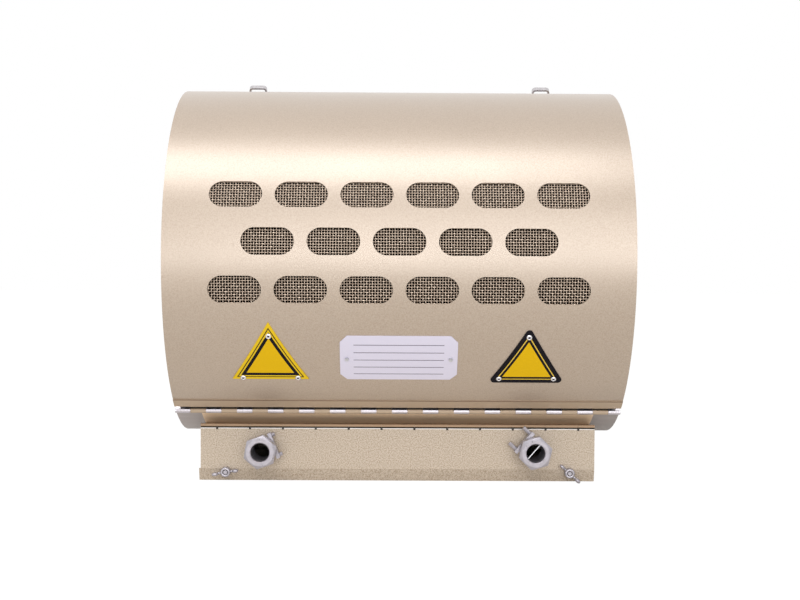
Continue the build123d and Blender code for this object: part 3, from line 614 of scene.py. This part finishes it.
rivet_profile = (
    (0.0, 0.25), (0.75, 0.25), (0.8, 0.85), (1.2, 1.05), (1.8, 0.9), (2.25, 0.35), (2.3, 0.0),
    (0.0, 0.0),
)
mandrel_profile = ((0.0, 1.0), (0.6, 1.0), (0.74, 0.9), (0.74, 0.3))
rivet_places = ((-21.4, -38.4), (21.4, -38.4), (0.0, -23.1))
sign_sheet = 0.7 * MM
rivets, mandrels = [], []
for centre_x_mm in (-sign_x_mm, sign_x_mm):
    for offset_mm, angle in rivet_places:
        origin = on_barrel((centre_x_mm + offset_mm) * MM, cover_r + sign_sheet, angle)
        outward = on_barrel(0.0, 1.0, angle)
        upward = np.cross(outward, (1, 0, 0))
        rivets.append(turned(rivet_profile, origin, (1, 0, 0), upward, outward))
        mandrels.append(turned(mandrel_profile, origin, (1, 0, 0), upward, outward, 16))
rivet_heads = solid("sign_rivet_heads", rivets)
rivet_finish = metal("bright_rivet", "D9D9DE", "F4F4F8", 0.25, 2.0)
finish_with(rivet_heads, rivet_finish, "plate_aluminium", "sign_rivets")
rivet_mandrels = solid("sign_rivet_mandrels", mandrels)
# The mandrels are real, but their dark grey is painted shade, standing for the shade in each rivet's
# hole.
mandrel_shade_finish = metal("mandrel_painted_shade", "3A3640", "55505C", 0.5, 0.8)
finish_with(rivet_mandrels, mandrel_shade_finish, "plate_aluminium")

# %% [markdown]
# ## Connectors
# A connector body is one turning: a tube through the lid with a hexagon mouth. The hexagon
# is the same spin with its radius pushed out to the flats, and a cone takes its corners off.

# %% Hexagon mouths
bore_mm, tube_mm, flats_mm = 7.5, 9.6, 24.0
tube_end_mm, hexagon_end_mm = -28.0, -7.0
chamfer_from_mm, chamfer_slope = -1.5, 0.6


def hexagon_mouth(vertex_turn):
    """Pushes the widest rings out to a hexagon, radius = flats / 2 / cos(turn from a flat)."""
    def corner(radius, height, turn):
        from_flat = (np.degrees(turn)[None, :] - vertex_turn) % 60 - 30
        hexagon = flats_mm / 2 / np.cos(np.radians(from_flat))
        is_hexagon = radius > flats_mm / 2 - 0.01
        chamfer = (hexagon - flats_mm / 2) * chamfer_slope
        drop = np.where(is_hexagon & (height > chamfer_from_mm), chamfer, 0.0)
        return np.where(is_hexagon, hexagon, radius), height - drop
    return corner


connector_profile = (
    (bore_mm, tube_end_mm), (bore_mm, -0.6), (8.1, 0.0), (10.9, 0.0), (11.6, -0.35),
    (flats_mm / 2, -0.6), (flats_mm / 2, hexagon_end_mm), (tube_mm, hexagon_end_mm),
    (tube_mm, tube_end_mm), (bore_mm, tube_end_mm),
)
for side, way, vertex_turn in (("left", -1, 20.0), ("right", 1, 16.0)):
    face_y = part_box(f"{side}_connector_body")[0][1]
    mouth = (way * connector_x_mm * MM, face_y, connector_z_mm * MM)
    grid = turned(
        connector_profile, mouth, (1, 0, 0), (0, 0, 1), (0, -1, 0), 72, hexagon_mouth(vertex_turn)
    )
    body = solid(f"{side}_connector_turning", [grid], body="box_lid", smooth=False)
    finish_with(body, zinc, "zinc_alloy", f"{side}_connector_body")

# %% [markdown]
# ## A bright line in the right connector
# The photo shows a bright line across the right connector's bore. What it is isn't known.
# It is guessed here to be the edge of a split clamp ring, and it is a look only: the solids
# leave the bore open.

# %% Ring edge
edge_half_width, edge_depth, edge_inset = 0.35 * MM, 1.2 * MM, 3 * MM
right_face_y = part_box("right_connector_body")[0][1]
bore_centre = np.array((connector_x_mm * MM, right_face_y + edge_inset, connector_z_mm * MM))
edge_ends = np.array(((-5.9, 0.0, -4.4), (3.6, 0.0, 6.4))) * MM + bore_centre
edge_way = edge_ends[1] - edge_ends[0]
edge_side = np.cross(edge_way / np.linalg.norm(edge_way), (0, 1, 0)) * edge_half_width
edge_deep = np.array((0, 1, 0)) * edge_depth
edge_ring = np.array((-edge_side, edge_side, edge_side + edge_deep, -edge_side + edge_deep))
edge_grid = edge_ends[:, None, :] + edge_ring[None]
clamp_edge = solid("right_clamp_ring_edge", [edge_grid], body="box_lid", smooth=False)
finish_with(clamp_edge, plate_metal, "zinc_alloy")

# %% [markdown]
# ## Cast wing nuts
# A wing nut is a small casting: a tapered boss and two flat rounded wings. Each wing is two
# flattened ellipsoids, a neck and a lobe, which is close to the soft form of the casting.

# %% Wing nuts


def lobe(centre, half_sizes, tilt, along, up, outward):
    """A flattened ellipsoid, half sizes times (cos b cos l, cos b sin l, sin b), tilted."""
    latitude = np.linspace(-np.pi / 2, np.pi / 2, 11)[:, None]
    longitude = np.linspace(0, 2 * np.pi, 20, endpoint=False)[None, :]
    a = half_sizes[0] * np.cos(latitude) * np.cos(longitude)
    b = half_sizes[1] * np.cos(latitude) * np.sin(longitude)
    c = half_sizes[2] * np.sin(latitude) * np.ones_like(longitude)
    tilt = np.radians(tilt)
    a, b = a * np.cos(tilt) - b * np.sin(tilt), a * np.sin(tilt) + b * np.cos(tilt)
    place = (a + centre[0])[..., None] * np.array(along) + (b + centre[1])[..., None] * np.array(outward)
    return (place + c[..., None] * np.array(up)) * MM


boss_profile = (
    (2.05, 0.0), (4.1, 0.0), (4.1, 1.2), (3.9, 4.6), (3.5, 5.0), (2.3, 5.0), (2.05, 4.7),
    (2.05, 0.0),
)
nut_seat_mm = (139.5, -81.2, -170.9)
wing_neck = ((4.8, 2.6), (2.5, 1.9, 1.1), 25)
wing_lobe = ((8.2, 4.9), (2.9, 2.4, 1.6), 35)
for side, mirror, wing_turn in (("left", -1, 10.0), ("right", 1, -42.0)):
    seat = np.array(nut_seat_mm) * (mirror, 1, 1) * MM
    angle = np.radians(wing_turn)
    along = np.array((np.cos(angle), 0, np.sin(angle)))
    up = np.array((-np.sin(angle), 0, np.cos(angle)))
    outward = np.array((0, -1, 0))
    grids = [turned(boss_profile, seat, (1, 0, 0), (0, 0, 1), outward, 32)]
    for way in (-1, 1):
        for wing_part in (wing_neck, wing_lobe):
            grids.append(seat + lobe(*wing_part, way * along, up, outward))
    nut = solid(f"{side}_cast_wing_nut", grids, body=f"{side}_nut")
    finish_with(nut, zinc, "zinc_alloy", f"{side}_wing_nut")

# %% [markdown]
# ## Floor, light and camera
# The floor is plain and pale. A large soft light stands high in front, where it draws the
# broad highlight along the upper cover, a wide one fills the front, and a low strip lifts
# the lower front. Camera, transmission and glossy rays see white behind the heater, and
# diffuse rays see a dimmer sky.

# %% Floor
floor_mesh = bpy.data.meshes.new("floor")
reach = 6.0
corners = [(-reach, -reach), (reach, -reach), (reach, reach), (-reach, reach)]
floor_mesh.from_pydata([(x, y, floor_z) for x, y in corners], [], [(0, 1, 2, 3)])
floor = bpy.data.objects.new("floor", floor_mesh)
bpy.context.collection.objects.link(floor)
floor_finish = bpy.data.materials.new("pale_floor")
floor_finish.use_nodes = True
floor_tree = floor_finish.node_tree
floor_tree.nodes.clear()
rays = add_node(floor_tree, "ShaderNodeLightPath").outputs
seen = maths(floor_tree, "MAXIMUM", rays["Is Camera Ray"], rays["Is Transmission Ray"])
glow_share = maths(floor_tree, "MULTIPLY", seen, 0.9)
pale = add_node(floor_tree, "ShaderNodeBsdfDiffuse", {"Color": linear("F1EFEB")})
glow = add_node(floor_tree, "ShaderNodeEmission", {"Color": (1, 1, 1, 1), "Strength": 1.08})
layers = {0: glow_share, 1: pale.outputs[0], 2: glow.outputs[0]}
both = add_node(floor_tree, "ShaderNodeMixShader", layers)
add_node(floor_tree, "ShaderNodeOutputMaterial", {0: both.outputs[0]})
floor_mesh.materials.append(floor_finish)

# %% World and lamps
world = bpy.data.worlds.new("studio")
bpy.context.scene.world = world
world.use_nodes = True
sky_tree = world.node_tree
sky_tree.nodes.clear()
rays = add_node(sky_tree, "ShaderNodeLightPath").outputs
seen = maths(sky_tree, "MAXIMUM", rays["Is Camera Ray"], rays["Is Transmission Ray"])
seen = maths(sky_tree, "MAXIMUM", seen, rays["Is Glossy Ray"])
soft = add_node(sky_tree, "ShaderNodeBackground", {"Color": (1.0, 0.99, 0.98, 1), "Strength": 0.45})
white = add_node(sky_tree, "ShaderNodeBackground", {"Color": (1, 1, 1, 1), "Strength": 1.0})
layers = {0: seen, 1: soft.outputs[0], 2: white.outputs[0]}
blend = add_node(sky_tree, "ShaderNodeMixShader", layers)
add_node(sky_tree, "ShaderNodeOutputWorld", {0: blend.outputs[0]})


def soft_box(name, elevation, distance, side, width, height, power):
    """An area light at (side, -distance cos(elevation), distance sin(elevation)), facing in."""
    lamp = bpy.data.lights.new(name, "AREA")
    lamp.shape = "RECTANGLE"
    lamp.size, lamp.size_y, lamp.energy = width, height, power
    holder = bpy.data.objects.new(name, lamp)
    angle = np.radians(elevation)
    holder.location = (side, -distance * np.cos(angle), distance * np.sin(angle))
    holder.rotation_euler = (np.radians(90 - elevation), 0.0, 0.0)
    bpy.context.collection.objects.link(holder)


soft_box("high_soft_box", 61.0, 1.4, -0.38, 1.6, 0.6, 14.0)
soft_box("front_fill", 17.0, 2.6, 0.35, 1.8, 1.4, 18.0)
soft_box("low_fill", 1.5, 2.2, 0.0, 2.4, 0.4, 9.5)

# %% [markdown]
# ## Camera
# The camera was fitted to the photograph's outline: a long lens about a metre away, at the
# height of the barrel's axis, tipped a little down, with a slight turn and roll.

# %% Camera placement
camera_place = (-7.5 * MM, -1064 * MM, 0.0)
pitch, yaw, roll = np.radians((1.8, 0.5, -0.32))
focal_share = 1215 / 800
sensor_mm = 36.0
forward = np.array((np.sin(yaw) * np.cos(pitch), np.cos(yaw) * np.cos(pitch), -np.sin(pitch)))
level_right = np.array((np.cos(yaw), -np.sin(yaw), 0.0))
level_up = np.cross(level_right, forward)
right = np.cos(roll) * level_right - np.sin(roll) * level_up
camera_up = np.sin(roll) * level_right + np.cos(roll) * level_up
lens = bpy.data.cameras.new("photo_camera")
lens.sensor_fit = "HORIZONTAL"
lens.sensor_width = sensor_mm
lens.lens = sensor_mm * focal_share
lens.clip_start = 0.01
camera = bpy.data.objects.new("photo_camera", lens)
axes = np.column_stack((right, camera_up, -forward))
camera.matrix_world = Matrix(
    [[*axes[row].tolist(), camera_place[row]] for row in range(3)] + [[0, 0, 0, 1]]
)
bpy.context.collection.objects.link(camera)
bpy.context.scene.camera = camera
bpy.context.scene.view_settings.view_transform = "Standard"
